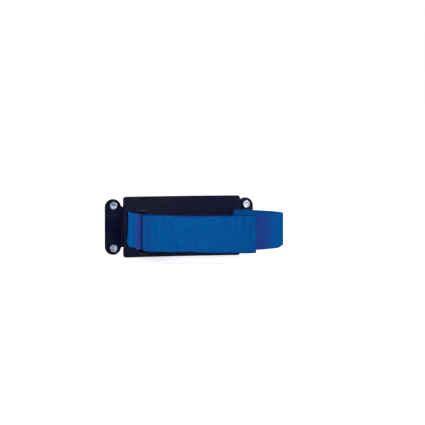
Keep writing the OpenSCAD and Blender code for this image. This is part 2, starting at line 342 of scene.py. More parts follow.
def band(name, route, edges, thickness, materials, outer, inner, across, edge_r=0.8,
         lift=None, sway=None):
    """Strap-like band along a route. outer and inner are the indices of its faces' materials,
    across is the number of its faces from edge to edge. edges(distance) gives the heights of its
    lower and upper edge, lift(distance, height) how far the outer face stands out there, and
    sway(distance) how far the whole section is moved, how far its upper edge leans past its
    middle and how far its lower edge flares, as three plan vectors."""
    edge_turns = np.radians([60, 30, 0, -30, -60])
    seal = 1.0  # length over which a cut end thins to end_share where it was heat-sealed
    end_share = 0.62
    rings, heights = [], []
    for i, distance in enumerate(route.along):
        low, high = edges(distance)
        sealed = math.sqrt(min(min(distance, route.length - distance) / seal, 1))
        half = thickness / 2 * (end_share + (1 - end_share) * sealed)
        point, normal = route.points[i], route.normals[i]
        levels = [low + edge_r + (high - low - 2 * edge_r) * j / across for j in range(across + 1)]
        section = [(z, half + (lift(distance, z) if lift else 0)) for z in levels]
        section += [(high - edge_r + edge_r * math.cos(a), half * math.sin(a)) for a in edge_turns]
        section += [(z, -half) for z in levels[::-1]]
        section += [(low + edge_r - edge_r * math.cos(a), half * math.sin(a)) for a in -edge_turns]
        shift, lean, flare = sway(distance) if sway else np.zeros((3, 2))
        rings.append([
            (*(point + out * normal + shift + lean * z / high + flare * min(z / high, 0) ** 2), z)
            for z, out in section
        ])
        heights.append([MM * z for z, _ in section])
    count = len(rings[0])
    faces = tube_faces(len(rings), count)
    first_inner = across + len(edge_turns)
    indices, uvs = [], []
    for i in range(len(rings) - 1):
        here, ahead = MM * route.along[i], MM * route.along[i + 1]
        for j in range(count):
            k = (j + 1) % count
            indices.append(inner if first_inner <= j <= first_inner + across else outer)
            uvs += [
                (here, heights[i][j]), (ahead, heights[i + 1][j]),
                (ahead, heights[i + 1][k]), (here, heights[i][k]),
            ]
    for i, order in ((0, 1), (len(rings) - 1, -1)):
        faces.append(cap(i * count, count)[::order])
        indices.append(inner)
        uvs += [(MM * route.along[i], height) for height in heights[i]][::order]
    vertices = [point for ring in rings for point in ring]
    return mesh_object(name, vertices, faces, materials, indices, uvs)


def stitches(name, runs, material):
    """Thread seen on a face. Each run is (route, start, end, face, count): start and end are
    (distance, height), face is the signed distance of the face from the route's middle."""
    sides = 8
    # share of a stitch along it, and how many radii the thread stands out there
    hump = [(-0.5, -0.7), (-0.42, 0.1), (-0.25, 0.55), (0, 0.7), (0.25, 0.55), (0.42, 0.1), (0.5, -0.7)]
    filled = 0.86  # share of a stitch's length that shows
    vertices, faces = [], []
    for route, start, end, face, count in runs:
        start, end = np.array(start, float), np.array(end, float)
        step = (end - start) / count
        for i in range(count):
            middle = start + step * (i + 0.5)
            line = []
            for share, height in hump:
                at = middle + step * share * filled
                point, normal = route.at(at[0])
                out = face + math.copysign(height * THREAD_R, face)
                line.append(Vector((*(point + out * normal), at[1])))
            ahead = (line[-1] - line[0]).normalized()
            flat = Vector((*route.at(middle[0])[1], 0))
            across = ahead.cross(flat).normalized()
            base = len(vertices)
            for centre in line:
                vertices += circle(centre, THREAD_R, across, flat, sides)
            faces += tube_faces(len(line), sides, base)
            faces.append(cap(base, sides))
            faces.append(cap(base + (len(line) - 1) * sides, sides)[::-1])
    obj = mesh_object(name, vertices, faces, [material])
    make_normals_outward(obj)
    return obj


def make_normals_outward(obj):
    """Turns every face of a closed mesh to look outwards."""
    work = bmesh.new()
    work.from_mesh(obj.data)
    bmesh.ops.recalc_face_normals(work, faces=work.faces)
    work.to_mesh(obj.data)
    work.free()


def place(obj, slot, *nodes):
    """Makes a piece ride on the bracket and stand for its CAD nodes."""
    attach(obj, "root")
    if nodes:
        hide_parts(*nodes)


# ---- materials
def linear(colour):
    """Linear colour of an sRGB hex value such as #1a2b3c."""
    channels = [int(colour[i : i + 2], 16) / 255 for i in (1, 3, 5)]
    return (*[c / 12.92 if c <= 0.04045 else ((c + 0.055) / 1.055) ** 2.4 for c in channels], 1)


def add(tree, kind, inputs=None, **settings):
    """Adds a shader node with its settings, and sets or links its inputs."""
    node = tree.nodes.new("ShaderNode" + kind)
    for key, value in settings.items():
        setattr(node, key, value)
    for key, value in (inputs or {}).items():
        if isinstance(value, bpy.types.NodeSocket):
            tree.links.new(value, node.inputs[key])
        else:
            node.inputs[key].default_value = value
    return node


def material(name, build, space="Object"):
    """Material whose shader is what build(tree, where) returns, where being its coordinates."""
    made = bpy.data.materials.new(name)
    made.use_nodes = True
    tree = made.node_tree
    tree.nodes.clear()
    shader = build(tree, add(tree, "TexCoord").outputs[space])
    add(tree, "OutputMaterial", {"Surface": shader.outputs[0]})
    return made


def per(size):
    """Scale of a noise texture whose grain is size millimetres."""
    return 1 / (size * MM)


def waves(tree, where, pitch, direction, distortion):
    """Ridges of a pitch in millimetres across one direction of the coordinates."""
    detail_size = 4.0
    scale = 0.1 * math.pi / (pitch * MM)
    return add(
        tree, "TexWave",
        {"Vector": where, "Scale": scale, "Distortion": distortion, "Detail": 2.0,
         "Detail Scale": per(detail_size) / scale},
        wave_type="BANDS", bands_direction=direction,
    ).outputs["Fac"]


def grain(tree, where, size, detail=3.0):
    """Noise with a grain of size millimetres."""
    return add(
        tree, "TexNoise",
        {"Vector": where, "Scale": per(size), "Detail": detail, "Roughness": 0.55},
    ).outputs["Fac"]


def spread(tree, value, low, high, to_low=0.0, to_high=1.0):
    """Maps the range low to high of a value on to to_low to to_high, and clamps it."""
    return add(
        tree, "MapRange",
        {"Value": value, "From Min": low, "From Max": high, "To Min": to_low, "To Max": to_high},
    ).outputs["Result"]


def blended(tree, share, *colours):
    """Colour between two, by a share from 0 to 1. Each is a socket or an sRGB hex value."""
    first, second = [linear(c) if isinstance(c, str) else c for c in colours]
    return add(tree, "Mix", {0: share, 6: first, 7: second}, data_type="RGBA").outputs[2]


def worked(tree, operation, first, second):
    """Result of a sum, product or the like of two values."""
    return add(tree, "Math", {0: first, 1: second}, operation=operation).outputs[0]


def weighted(tree, *terms):
    """Sum of values times their weights. Each term is (value, weight)."""
    total = None
    for value, weight in terms:
        part = value if weight == 1 else worked(tree, "MULTIPLY", value, weight)
        total = part if total is None else worked(tree, "ADD", total, part)
    return total


def surface(tree, colour, roughness, specular, height, depth, metallic=0.0):
    """Shader of a surface whose relief follows height and is depth millimetres deep."""
    relief = add(tree, "Bump", {"Height": height, "Distance": depth * MM, "Strength": 1.0}).outputs[0]
    return add(
        tree, "BsdfPrincipled",
        {"Base Color": colour, "Roughness": roughness, "Specular IOR Level": specular,
         "Metallic": metallic, "Normal": relief},
    )


def powder_coated_steel(colour):
    """Polyester powder, baked on steel: a satin black skin with fine orange peel."""

    def build(tree, where):
        peel = grain(tree, where, 1.1, detail=2.0)
        dust = spread(tree, grain(tree, where, 14, detail=5.0), 0.42, 0.7)
        tint = blended(tree, dust, colour, "#15172f")
        gloss = spread(tree, dust, 0, 1, 0.42, 0.5)
        return surface(tree, tint, gloss, specular=0.12, height=peel, depth=0.035)

    return material("Polyester powder coat, black, baked on steel", build)


def zinc_plated_steel(colour):
    """Bright zinc on cold-headed steel: pale metal with soft spangle and fine die marks."""

    def build(tree, where):
        bloom = grain(tree, where, 2.5, detail=4.0)
        tint = blended(tree, spread(tree, bloom, 0.35, 0.7), colour, "#a9b3c6")
        gloss = spread(tree, bloom, 0.3, 0.7, 0.2, 0.32)
        marks = grain(tree, where, 0.5)
        return surface(tree, tint, gloss, specular=0.5, height=marks, depth=0.012, metallic=1.0)

    return material("Bright zinc plate on cold-headed steel", build)


def enamelled_wire(colour):
    """Stove enamel on drawn steel wire: deep gloss black with slow waves from dipping."""

    def build(tree, where):
        clouds = spread(tree, grain(tree, where, 5), 0.4, 0.7)
        tint = blended(tree, clouds, colour, "#08080b")
        gloss = spread(tree, grain(tree, where, 3), 0.3, 0.7, 0.12, 0.2)
        runs = grain(tree, where, 4, detail=1.0)
        return surface(tree, tint, gloss, specular=0.02, height=runs, depth=0.05)

    return material("Black stove enamel on drawn steel wire", build)


def edge_lines(tree, where, low, high, width):
    """1 in the thin lines of painted shade along a band's two edges, whose heights are low and high,
    else 0.
    """
    height = add(tree, "SeparateXYZ", {"Vector": where}).outputs["Y"]
    near_low = spread(tree, height, low * MM, (low + width) * MM, 1, 0)
    near_high = spread(tree, height, (high - width) * MM, high * MM, 0, 1)
    return worked(tree, "MAXIMUM", near_low, near_high)


def woven_webbing(name, colour, dark, edge, low, high, darker_stretch=None):
    """Woven nylon webbing, dyed: weft ribs across it and fine warp along it, its edges at heights
    low and high. The weave's grooves are drawn darker, as painted shade, and thin lines of
    painted shade run along both edges, where they roll away. The stretch given last, in
    millimetres along it, is drawn darker."""

    def build(tree, where):
        ribs = waves(tree, where, 1.7, "X", distortion=0.6)
        # wider, fainter bars show where the weft was beaten up unevenly
        along = add(tree, "Mapping", {"Vector": where, "Scale": (1, 0.04, 1)}).outputs[0]
        bars = spread(tree, grain(tree, along, 2.6, detail=1.0), 0.36, 0.64)
        # warp ends are 0.45 mm wide on the real webbing, drawn twice as coarse so that they show
        warp = waves(tree, where, 0.9, "Y", distortion=0.4)
        weave = weighted(tree, (ribs, 0.6), (warp, 0.4))
        wear = spread(tree, grain(tree, where, 9, detail=4.0), 0.35, 0.65)
        fuzz = grain(tree, where, 0.6, detail=2.0)
        # painted shade: the weave's grooves are drawn darker; the random wear and the weft bars are the
        # webbing's own tone
        shade = weighted(tree, (weave, 0.4), (wear, 0.32), (bars, 0.28))
        base = blended(tree, shade, dark, colour)
        # a stretch of the tongue past its fold is drawn darker
        if darker_stretch:
            length = add(tree, "SeparateXYZ", {"Vector": where}).outputs["X"]
            start, end = [c * MM for c in darker_stretch]
            darker_share = worked(tree, "MULTIPLY", spread(tree, length, start, start + 2 * MM, 0, 0.85),
                            spread(tree, length, end - 3 * MM, end, 1, 0))
            base = blended(tree, darker_share, base, "#14478c")
        # thin lines of painted shade along both edges, where they roll away
        with_edge_shade = blended(tree, edge_lines(tree, where, low, high, 1.3), base, edge)
        relief = weighted(tree, (weave, 1), (fuzz, 0.35))
        return surface(tree, with_edge_shade, roughness=0.85, specular=0.0, height=relief, depth=0.16)

    return material(name, build, "UV")


def loop_pile(name, colour, dark, sheen_colour, sheen_from=0.0, sheen_to=0.0):
    """Brushed nylon loop face: soft tufts that scatter light. Between the two distances given last, in
    millimetres along it, its colour turns towards the one given fourth: a painted sheen, the bluer
    look of the loops at a grazing angle. Random flecks of each colour show on the other's side."""

    def build(tree, where):
        tufts = add(tree, "TexVoronoi", {"Vector": where, "Scale": per(1.3), "Randomness": 1.0},
                    feature="SMOOTH_F1").outputs["Distance"]
        clumps = grain(tree, where, 3.2, detail=4.0)
        mottle = weighted(tree, (clumps, 0.6), (grain(tree, where, 11), 0.4))
        base = blended(tree, spread(tree, mottle, 0.36, 0.64), dark, colour)
        # painted sheen: further along, the loops turn bluer, standing for their look at a grazing angle
        if sheen_to > sheen_from:
            length = add(tree, "SeparateXYZ", {"Vector": where}).outputs["X"]
            sheen_share = spread(tree, length, sheen_from * MM, sheen_to * MM, 0, 0.3)
            sheen_and_specks = worked(tree, "ADD", grain(tree, where, 3.4), sheen_share)
            base = blended(tree, spread(tree, sheen_and_specks, 0.56, 0.76), base, sheen_colour)
        relief = weighted(tree, (mottle, 1), (tufts, -0.8))
        return surface(tree, base, roughness=0.95, specular=0.0, height=relief, depth=0.35)

    return material(name, build, "UV")


def moulded_hooks(colour):
    """Hook face of cut nylon monofilament: stiff rows of small upright hooks, with painted shade in the
    low ground between them.
    """

    def build(tree, where):
        rows = waves(tree, where, 1.6, "Y", distortion=0.2)
        hooks = waves(tree, where, 1.3, "X", distortion=0.8)
        stand = worked(tree, "MULTIPLY", rows, hooks)
        # painted shade: the low ground between the hooks is drawn darker
        tint = blended(tree, spread(tree, stand, 0.1, 0.8), "#06264f", colour)
        return surface(tree, tint, roughness=0.6, specular=0.4, height=stand, depth=0.5)

    return material("Cut nylon hook face, dyed blue", build, "UV")


def sewing_thread(colour):
    """Twisted polyester thread: slightly glossier and darker than the cloth it holds."""

    def build(tree, where):
        twist = grain(tree, where, 0.5, detail=2.0)
        tint = blended(tree, twist, colour, "#1a4f98")
        return surface(tree, tint, roughness=0.7, specular=0.04, height=twist, depth=0.05)

    return material("Twisted polyester thread, dyed blue", build)


# ---- settings
def hex_colour(name, of_what, default):
    """Property for a colour given as an sRGB hex value."""
    return StringProperty(name=name, description=of_what + ", as an sRGB hex value", default=default)


class BracketSettings(bpy.types.PropertyGroup):
    """Sizes and colours of the bracket that a user would change."""

    coat_colour: hex_colour("Plate colour", "Powder coat of the plate", "#0c0d2a")
    edge_rounding: FloatProperty(
        name="Edge rounding", description="Radius of the plate's coated edges",
        default=0.35 * MM, min=0.1 * MM, max=0.8 * MM, unit="LENGTH", precision=5,
    )
    zinc_colour: hex_colour("Bolt colour", "Zinc plate of the bolts", "#e4e9f4")
    thread_pitch: FloatProperty(
        name="Thread pitch", description="Pitch of the thread on the bolts' shanks",
        default=1.0 * MM, min=0.5 * MM, max=1.5 * MM, unit="LENGTH", precision=5,
    )
    webbing_colour: hex_colour("Webbing colour", "Dye of strap and tongue", "#085fa9")
    pile_colour: hex_colour("Loop colour", "Dye of the loop face", "#204896")
    tab_colour: hex_colour("Tab colour", "Dye of the tab round the ring", "#2a53a6")
    sewing_colour: hex_colour("Thread colour", "Dye of the sewing thread", "#0e3d80")
    enamel_colour: hex_colour("Ring colour", "Enamel of the ring", "#030304")
    floor_colour: hex_colour("Floor colour", "Colour of the studio floor", "#e6e6e6")
    light_level: FloatProperty(
        name="Light level", description="Strength of the studio's all-round light",
        default=0.62, min=0.1, max=2.0,
    )
    view_distance: FloatProperty(
        name="View distance", description="Distance from the camera to the bracket",
        default=3.0, min=0.5, max=10.0, unit="LENGTH",
    )
    view_aim: FloatVectorProperty(
        name="View aim", description="Point that the camera looks at", size=3,
        default=(0.0089, -0.1143, 0.0235), subtype="XYZ", unit="LENGTH", precision=4,
    )


# ---- plate
def blank_positions():
    """Distances across the flat blank, from its middle, at which its right half changes."""
    to_fold = (DISH_R + PLATE_T / 2) * math.radians(90 - bearing(DISH, FOLD_FRONT))
    to_leg = to_fold + FOLD_MID * math.radians(180 - bearing(DISH, FOLD_FRONT))
    to_back = to_leg + FOLD_BACK[1] - FOLD_FRONT[1]
    to_ear = to_back + FOLD_MID * math.pi / 2
    return to_fold, to_leg, to_back, to_ear


def dish_distance(x):
    """Distance along the saddle's middle surface to a given x."""
    radius = DISH_R + PLATE_T / 2
    return radius * math.asin(x / radius)


def arc_points(centre, radius, start, end, steps=12):
    """Points along an arc, both ends included."""
    return [tuple(np.array(centre) + radius * unit(a)) for a in np.linspace(start, end, steps + 1)]


def blank_outline():
    """Outline of the flat blank, anticlockwise, as (across, up)."""
    to_fold, _, _, to_ear = blank_positions()
    edge, top, neck = dish_distance(SADDLE_HALF) + SADDLE_REACH, SADDLE_H / 2, NECK_H / 2
    corner = SADDLE_CORNER_R
    ear_r = (EAR_W + EAR_REACH) / 2
    ear_x = to_ear + BOLT_X - FOLD_BACK[0] - EAR_REACH / 2
    ear_z = EAR_H / 2 - ear_r
    fillet = (to_ear - NECK_FILLET / 2, -neck - NECK_FILLET)
    meet = 180 + math.degrees(math.asin((neck + NECK_FILLET - ear_z) / ear_r))
    lower = [
        *arc_points((edge - corner, corner - top), corner, -90, 0),
        (edge, -neck - KERF),
        *arc_points((to_fold + KERF / 2, -neck - KERF / 2), KERF / 2, 270, 90, 6),
        *arc_points(fillet, NECK_FILLET, 90, 0, 6),
        *arc_points((ear_x, -ear_z), ear_r, meet, 360, 32),
    ]
    right = lower + [(x, -z) for x, z in reversed(lower)]
    return right + [(-x, z) for x, z in reversed(right)]


def slot_outline(side):
    """Outline of one slot in the blank."""
    inner, outer = dish_distance(SLOT_IN), dish_distance(SLOT_OUT)
    r, half = SLOT_CORNER_R, SLOT_H / 2
    points = []
    for x, z, start in (
        (outer - r, r - half, -90), (outer - r, half - r, 0),
        (inner + r, half - r, 90), (inner + r, r - half, 180),
    ):
        points += arc_points((x, z), r, start, start + 90, 6)
    return [(side * x, z) for x, z in points]


def fold_blank(across, up, out):
    """Place on the folded plate of a point on the flat blank, out mm on the wall side of its middle."""
    to_fold, to_leg, to_back, to_ear = blank_positions()
    far, side = abs(across), math.copysign(1, across)
    past_edge = (dish_distance(SADDLE_HALF) + to_ear) / 2
    free_end = abs(up) > (NECK_H + KERF) / 2 and far < past_edge
    if far <= to_fold or free_end:
        radius = DISH_R + PLATE_T / 2
        x, y = DISH + (radius + out) * unit(90 - math.degrees(far / radius))
    elif far <= to_leg:
        turn = bearing(DISH, FOLD_FRONT) - 180 + math.degrees((far - to_fold) / FOLD_MID)
        x, y = FOLD_FRONT + (FOLD_MID - out) * unit(turn)
    elif far <= to_back:
        x, y = FOLD_FRONT[0] + FOLD_MID - out, FOLD_FRONT[1] + far - to_leg
    elif far <= to_ear:
        x, y = FOLD_BACK + (FOLD_MID + out) * unit(180 - math.degrees((far - to_back) / FOLD_MID))
    else:
        x, y = FOLD_BACK[0] + far - to_ear, out - PLATE_T / 2
    return side * x, y, up


def folded_plate(rounding, coat):
    """The plate, cut flat with rounded edges and then folded and dished."""
    curve = bpy.data.curves.new("blank", "CURVE")
    curve.dimensions = "2D"
    curve.fill_mode = "BOTH"
    curve.extrude = PLATE_T / 2 - rounding
    curve.bevel_depth = rounding
    curve.bevel_resolution = 2
    curve.offset = -rounding
    ear_x = blank_positions()[3] + BOLT_X - FOLD_BACK[0]
    outlines = [blank_outline(), slot_outline(1), slot_outline(-1)]
    for side in (-1, 1):
        for up in (-BOLT_Z, BOLT_Z):
            outlines.append(arc_points((side * ear_x, up), BOLT_HOLE_D / 2, 0, 350, 35))
    for outline in outlines:
        spline = curve.splines.new("POLY")
        spline.points.add(len(outline) - 1)
        spline.points.foreach_set("co", [c for x, z in outline for c in (x, z, 0, 1)])
        spline.use_cyclic_u = True
    drawn = new_object("blank", curve)
    graph = bpy.context.evaluated_depsgraph_get()
    mesh = bpy.data.meshes.new_from_object(drawn.evaluated_get(graph))
    bpy.data.objects.remove(drawn)

    work = bmesh.new()
    work.from_mesh(mesh)
    bmesh.ops.remove_doubles(work, verts=work.verts, dist=1e-4)
    to_fold, to_leg, to_back, to_ear = blank_positions()
    # cuts across the blank, between which it bends
    cuts = [
        *np.linspace(0, to_fold, 21),
        *np.linspace(to_fold, to_leg, 10)[1:],
        *np.linspace(to_back, to_ear, 9),
    ]
    for cut in sorted({round(side * c, 6) for c in cuts for side in (-1, 1)}):
        bmesh.ops.bisect_plane(
            work, geom=[*work.verts, *work.edges, *work.faces], dist=1e-4,
            plane_co=(cut, 0, 0), plane_no=(1, 0, 0),
        )
    for vertex in work.verts:
        vertex.co = MM * Vector(fold_blank(vertex.co.x, vertex.co.y, vertex.co.z))
    bmesh.ops.recalc_face_normals(work, faces=work.faces)
    work.to_mesh(mesh)
    work.free()
    mesh.materials.clear()
    mesh.materials.append(coat)
    plate = new_object("folded_plate", mesh)
    mesh.shade_smooth()
    mesh.set_sharp_from_angle(angle=math.radians(40))
    plate.modifiers.new("flat faces", "WEIGHTED_NORMAL").keep_sharp = True
    return plate


class BRACKET_OT_plate(bpy.types.Operator):
    """Fold the steel plate with its ears, saddle and slots"""

    bl_idname = "bracket.plate"
    bl_label = "Plate"

    def execute(self, context):
        settings = context.scene.bracket
        coat = powder_coated_steel(settings.coat_colour)
        plate = folded_plate(settings.edge_rounding / MM, coat)
        place(plate, "powder_coated_steel", "bracket_plate")
        return {"FINISHED"}


# ---- bolts
def hex_bolt(name, x, z, turn, pitch, metal):
    """Hexagon bolt with a chamfered, dished head and a threaded shank, through the ear."""
    around = 96
    angles = [360 * i / around for i in range(around)]
    flat = [HEAD_AF / 2 / math.cos(math.radians((a - turn + 30) % 60 - 30)) for a in angles]
    chamfer_r = 0.95 * HEAD_AF / 2
    slope = math.tan(math.radians(30))
    # (radius, height) all round, from the dish in the head's top down to the shank
    loops = [
        [(2.4, HEAD_H - 0.5)] * around,
        [(2.75, HEAD_H - 0.45)] * around,
        [(3.1, HEAD_H - 0.1)] * around,
        [(3.35, HEAD_H)] * around,
        [(chamfer_r, HEAD_H)] * around,
        [(f - 0.06, HEAD_H + 0.02 - (f - chamfer_r) * slope) for f in flat],
        [(f, HEAD_H - 0.1 - (f - chamfer_r) * slope) for f in flat],
        [(f, 0.35) for f in flat],
        [(f - 0.1, 0.2) for f in flat],
        [(4.7, 0.18)] * around,
        [(4.6, 0.0)] * around,
        [(NECK_D / 2, 0.0)] * around,
    ]
    vertices = []
    for loop in loops:
        for a, (radius, height) in zip(angles, loop):
            across = radius * unit(a)
            vertices.append((x + across[0], -PLATE_T - height, z + across[1]))
    faces = [cap(0, around), *tube_faces(len(loops), around)]

    # plain neck in the plate's hole, then the thread: its radius follows the distance along the
    # shank less the turn of the helix
    sides, thread_depth, tip_chamfer = 24, 0.55, 0.8
    steps = int(BOLT_LEN / (pitch / 6))
    base = len(vertices)
    for j in range(steps + 1):
        along = BOLT_LEN * j / steps
        for k in range(sides):
            phase = (along / pitch - k / sides) % 1
            ridge = 1 - abs(2 * phase - 1)
            radius = BOLT_D / 2 - thread_depth * (1 - smooth_step(ridge * 1.25))
            radius = min(radius, BOLT_D / 2 - tip_chamfer + max(BOLT_LEN - along, 0))
            if along < PLATE_T:
                radius = NECK_D / 2
            across = radius * unit(360 * k / sides)
            vertices.append((x + across[0], along - PLATE_T, z + across[1]))
    faces += tube_faces(steps + 1, sides, base)
    faces += [cap(base + steps * sides, sides), cap(base, sides)]
    bolt = mesh_object(name, vertices, faces, [metal])
    make_normals_outward(bolt)
    bolt.data.set_sharp_from_angle(angle=math.radians(32))
    return bolt


class BRACKET_OT_bolts(bpy.types.Operator):
    """Put the four zinc-plated hexagon bolts through the ears"""

    bl_idname = "bracket.bolts"
    bl_label = "Bolts"

    def execute(self, context):
        settings = context.scene.bracket
        metal = zinc_plated_steel(settings.zinc_colour)
        for corner, turn in HEAD_TURNS.items():
            x = BOLT_X if "right" in corner else -BOLT_X
            z = BOLT_Z if "upper" in corner else -BOLT_Z
            bolt = hex_bolt("hex_bolt_" + corner, x, z, turn, settings.thread_pitch / MM, metal)
            place(bolt, "zinc_plated_steel", "bolt_" + corner)
        return {"FINISHED"}


# ---- strap
def strap_route():
    """The strap from its seam under the tongue, round the front and right, to its sewn end."""
    return Route(
        [
            (AXIS, WRAP_R, 270 - SEAM_ANGLE, 360 + LEAVE_ANGLE),
            (BEND, BEND_R, LEAVE_ANGLE, BEND_ANGLE),
            (DISH, BACK_R, BEND_ANGLE, 180 - BEND_ANGLE),
            (BEND * (-1, 1), BEND_R, 180 - BEND_ANGLE, 180 - LEAVE_ANGLE),
            (HUMP, HUMP_R, LEFT_ANGLE, LEFT_ANGLE + HUMP_TURN),
            (AXIS, RAISE_R, LEFT_ANGLE + HUMP_TURN, 270 - STRAP_END_ANGLE + STRAP_LAP),
        ],
        spacing=1.1,
    )


def strap_edges(route):
    """Heights of the strap's lower and upper edge, which draw in towards the slots."""
    slack_at = route.distance_to(AXIS, SLACK_ANGLE)

    def edges(distance):
        (x, y), _ = route.at(distance)
        on_left, on_right = ramp(-x, *SIDE_X), ramp(x, *SIDE_X)
        squeezed = ramp(y, *SQUEEZE_Y)
        half = STRAP_W / 2 - squeezed * (STRAP_W - STRAP_SLOT_W) / 2 + SLOT_SWELL * squeezed
        wave = STRAP_WAVE * noise.noise(Vector((distance / 40, 3.1, 0))) * (1 - squeezed)
        curl = CURL * ramp(y, *CURL_Y) * ramp(y, *CURL_END_Y) * on_left
        rise = RIGHT_RISE * ramp(distance - slack_at, *RIGHT_RISE_FROM) * on_right * (1 - squeezed)
        lift = LEFT_LIFT * bump(y - LEFT_LIFT_MIDDLE, *LEFT_LIFT_REACH) * on_left
        return -half + curl + rise + lift + wave, half + lift / 2 + wave

    return edges


def strap_sway(route):
    """How the strap bulges behind the slots, stands off on the right, and leans and flares on
    the left."""
    middles = [route.distance_to(BEND * (side, 1), 90 - side * 50) for side in (1, -1)]
    slack_at = route.distance_to(AXIS, SLACK_ANGLE)

    def sway(distance):
        (x, y), normal = route.at(distance)
        off = BULGE * sum(bump(distance - middle, *BULGE_REACH) for middle in middles)
        off += SLACK * bump(distance - slack_at, *SLACK_REACH)
        if x > 0:
            return off * normal, np.zeros(2), np.zeros(2)
        inwards = np.array([1.0, 0])
        lean = LEAN / 2 * ramp(y, *LEAN_Y) * ramp(y, BEND[1] + BEND_R, BEND[1]) * inwards
        flare = -FLARE * ramp(y, *FLARE_Y) * ramp(y, *FLARE_END_Y) * inwards
        return off * normal + lean, lean, flare

    return sway


def pile_lift(height, size):
    """How far tufts of a pile stand out, up to a height in millimetres."""

    def lift(distance, z):
        where = Vector((distance / size, z / size, 7.7))
        return height * (0.5 + 0.5 * noise.noise(where) + 0.35 * noise.noise(2.3 * where))

    return lift


class BRACKET_OT_strap(bpy.types.Operator):
    """Lay the strap behind the saddle, out through both slots and round the cylinder"""

    bl_idname = "bracket.strap"
    bl_label = "Strap"

    def execute(self, context):
        settings = context.scene.bracket
        route = strap_route()
        tongue_end_at = route.distance_to(AXIS, 270 + TONGUE_END_ANGLE)
        # the third colour is the painted shade along the strap's edges
        webbing = woven_webbing(
            "Woven nylon webbing, dyed blue", settings.webbing_colour, "#084688", "#033d85",
            -STRAP_W / 2, STRAP_W / 2,
        )
        # from just past the tongue's end the loops turn bluer, a painted sheen for their look at a
        # grazing angle
        pile = loop_pile(
            "Brushed nylon loop face, dyed blue", settings.pile_colour, "#243a86", "#035aa6",
            tongue_end_at + SHEEN_RAMP[0], tongue_end_at + SHEEN_RAMP[1],
        )
        strap = band(
            "webbing_strap", route, strap_edges(route), STRAP_T, [webbing, pile], outer=1, inner=0,
            across=34, lift=pile_lift(0.12, 1.5), sway=strap_sway(route),
        )
        place(strap, "webbing", "strap")
        return {"FINISHED"}


# ---- tongue
def tongue_route():
    """The tongue from its seam, through the ring, round the bar and back over the strap."""
    outer_r = CYLINDER_R + STRAP_T + LIE_GAP + TONGUE_T / 2
    turn_r = WIRE_CLEAR + TONGUE_T / 2
    up, left = 270 - TONGUE_BAR_ANGLE, 180 - TONGUE_BAR_ANGLE
    reach = np.linalg.norm(TONGUE_BAR - AXIS)
    land = up + math.degrees(math.acos((outer_r - turn_r) / reach))
    return Route(
        [
            (AXIS, CYLINDER_R + TONGUE_T / 2, 270 - SEAM_ANGLE - 0.2, up),
            (TONGUE_BAR + TONGUE_SLACK * unit(left), turn_r, left - 90, left + 90),
            (TONGUE_BAR, turn_r, up, land),
            (AXIS, outer_r, land, 270 + TONGUE_END_ANGLE),
        ],
        spacing=1.0,
    )


def tongue_edges(route):
    """Heights of the tongue's edges: both rise at the fold, where the ring's corners pinch it."""
    left = unit(180 - TONGUE_BAR_ANGLE)
    low, high = STRAP_W / 2 - TONGUE_W, STRAP_W / 2

    def edges(distance):
        point, _ = route.at(distance)
        past_bar = np.dot(point - TONGUE_BAR, left)
        corner = FOLD_LIFT * ramp(past_bar, *FOLD_LIFT_PAST)
        rise = FOLD_RISE * ramp(past_bar, *FOLD_RISE_PAST)
        sag = np.interp(route.length - distance, SAG_FROM_END, SAG)
        wave = TONGUE_WAVE * noise.noise(Vector((distance / 30, 9.4, 0)))
        return low + corner + sag + wave, high + rise + wave

    return edges


class BRACKET_OT_tongue(bpy.types.Operator):
    """Fold the hook tongue round the ring's bar and lay it back on the strap"""

    bl_idname = "bracket.tongue"
    bl_label = "Hook tongue"

    def execute(self, context):
        settings = context.scene.bracket
        route = tongue_route()
        left = 180 - TONGUE_BAR_ANGLE
        fold = route.distance_to(TONGUE_BAR + TONGUE_SLACK * unit(left), left)
        # the third colour is the painted shade along the tongue's edges
        face = woven_webbing(
            "Woven nylon tape, dyed blue", settings.webbing_colour, "#084688", "#032f74",
            STRAP_W / 2 - TONGUE_W, STRAP_W / 2, darker_stretch=(fold + DARKER_STRETCH[0], fold + DARKER_STRETCH[1]),
        )
        hooks = moulded_hooks("#0d4a8c")
        tongue = band(
            "hook_tongue_band", route, tongue_edges(route), TONGUE_T, [face, hooks], outer=0, inner=1,
            across=30, edge_r=0.9,
        )
        place(tongue, "webbing", "hook_tongue")
        return {"FINISHED"}


# ---- tab
def tab_route():
    """The tab from its outer tail, round the ring's bar, to its inner tail."""
    tail_r = CYLINDER_R + TAB_T + LIE_GAP + TAB_T / 2
    turn_r = WIRE_CLEAR + TAB_T / 2
    up = 270 - TAB_BAR_ANGLE
    turn = TAB_BAR - TAB_SLACK * unit(180 - TAB_BAR_ANGLE)
    meet = AXIS + tail_r * unit(270 - TAIL_MEET_ANGLE)
    lift = bearing(TAB_BAR, meet) + math.degrees(math.acos(turn_r / np.linalg.norm(meet - TAB_BAR)))
    return Route(
        [
            (AXIS, tail_r, 270 - TAIL_END_ANGLE, 270 - TAIL_MEET_ANGLE),
            (TAB_BAR, turn_r, lift, up),
            (turn, turn_r, up, up + 180),
            (AXIS, CYLINDER_R + TAB_T / 2, up, 270 - TAIL_END_ANGLE),
        ],
        spacing=0.8,
    )


